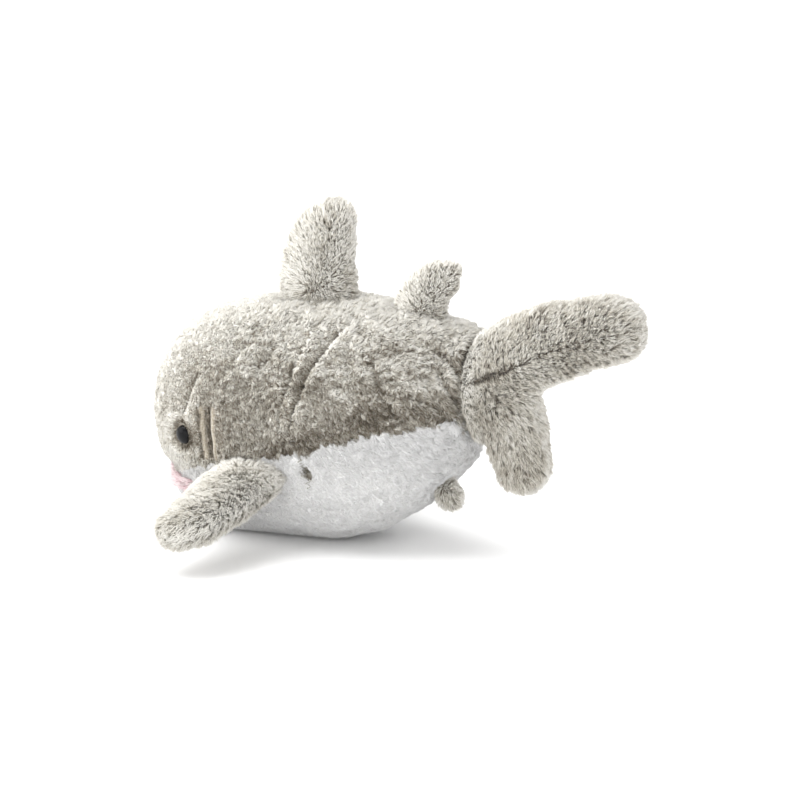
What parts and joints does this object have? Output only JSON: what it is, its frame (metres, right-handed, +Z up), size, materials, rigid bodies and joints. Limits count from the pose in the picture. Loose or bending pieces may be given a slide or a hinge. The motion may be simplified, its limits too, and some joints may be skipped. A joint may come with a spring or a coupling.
{
  "type": "plush shark",
  "caption": "Fat stuffed toy shark in long-pile greige plush with a white belly, black safety eyes, sewn gill slits, a pink mouth and soft bending fins and tail.",
  "frame": {"origin": "centre of the bounding box on the plane that the belly rests on", "axes": "+Z up, -Y towards the snout, +Y towards the tail, +X towards the shark's own left side"},
  "size_m": [0.3874, 0.4547, 0.2925],
  "materials": {
    "grey_plush": "soft long-pile plush, greige",
    "white_plush": "soft short-pile plush, off-white",
    "pink_plush": "short-pile plush, pale pink",
    "gill_cloth": "short nap cloth, pale pinkish grey",
    "stuffing": "loose polyester fibre fill, off-white",
    "eye_black": "polished black",
    "washer_plastic": "matt natural",
    "thread": "twisted polyester thread, olive grey",
    "label_cloth": "plain woven satin ribbon, blank"
  },
  "bodies": {
    "trunk": {"left_side_panel": "grey_plush", "right_side_panel": "grey_plush", "belly_panel": "white_plush", "mouth_lining": "pink_plush", "body_stuffing": "stuffing", "left_front_gill_insert": "gill_cloth", "left_rear_gill_insert": "gill_cloth", "right_front_gill_insert": "gill_cloth", "right_rear_gill_insert": "gill_cloth", "left_eye": "eye_black", "right_eye": "eye_black", "left_eye_washer": "washer_plastic", "right_eye_washer": "washer_plastic", "closing_stitches": "thread", "blank_label": "label_cloth"},
    "dorsal_fin": {"dorsal_fin_left_panel": "grey_plush", "dorsal_fin_right_panel": "grey_plush", "dorsal_fin_stuffing": "stuffing"},
    "second_dorsal_fin": {"second_dorsal_fin_left_panel": "grey_plush", "second_dorsal_fin_right_panel": "grey_plush", "second_dorsal_fin_stuffing": "stuffing"},
    "left_pectoral_fin": {"left_pectoral_fin_top_panel": "grey_plush", "left_pectoral_fin_bottom_panel": "grey_plush", "left_pectoral_fin_stuffing": "stuffing"},
    "right_pectoral_fin": {"right_pectoral_fin_top_panel": "grey_plush", "right_pectoral_fin_bottom_panel": "grey_plush", "right_pectoral_fin_stuffing": "stuffing"},
    "anal_fin": {"anal_fin_left_panel": "grey_plush", "anal_fin_right_panel": "grey_plush", "anal_fin_stuffing": "stuffing"},
    "tail": {"tail_left_panel": "grey_plush", "tail_right_panel": "grey_plush", "tail_stuffing": "stuffing"}
  },
  "joints": [
    {"name": "tail_sway", "type": "hinge", "parent": "trunk", "child": "tail", "pos_m": [0, 0.0735, 0.149], "axis": [0, 0, 1], "range_deg": [-30, 30], "stiffness_Nm_per_rad": 0.9},
    {"name": "dorsal_fin_bend", "type": "hinge", "parent": "trunk", "child": "dorsal_fin", "pos_m": [0, -0.0855, 0.22456], "axis": [0, 0.996, 0.0896], "range_deg": [-35, 35], "stiffness_Nm_per_rad": 0.25},
    {"name": "second_dorsal_fin_bend", "type": "hinge", "parent": "trunk", "child": "second_dorsal_fin", "pos_m": [0, 0.0175, 0.2176], "axis": [0, 0.9859, -0.1676], "range_deg": [-40, 40], "stiffness_Nm_per_rad": 0.08},
    {"name": "left_pectoral_fin_flap", "type": "hinge", "parent": "trunk", "child": "left_pectoral_fin", "pos_m": [0.09949, -0.1065, 0.0588], "axis": [-0.0125, 0.9858, 0.1673], "range_deg": [-40, 10], "stiffness_Nm_per_rad": 0.9},
    {"name": "right_pectoral_fin_flap", "type": "hinge", "parent": "trunk", "child": "right_pectoral_fin", "pos_m": [-0.09949, -0.1065, 0.0588], "axis": [0.0125, 0.9858, 0.1673], "range_deg": [-10, 40], "stiffness_Nm_per_rad": 0.9},
    {"name": "anal_fin_bend", "type": "hinge", "parent": "trunk", "child": "anal_fin", "pos_m": [0, 0.04506, 0.04776], "axis": [0, 0.8, 0.6], "range_deg": [-30, 30], "stiffness_Nm_per_rad": 0.03}
  ]
}
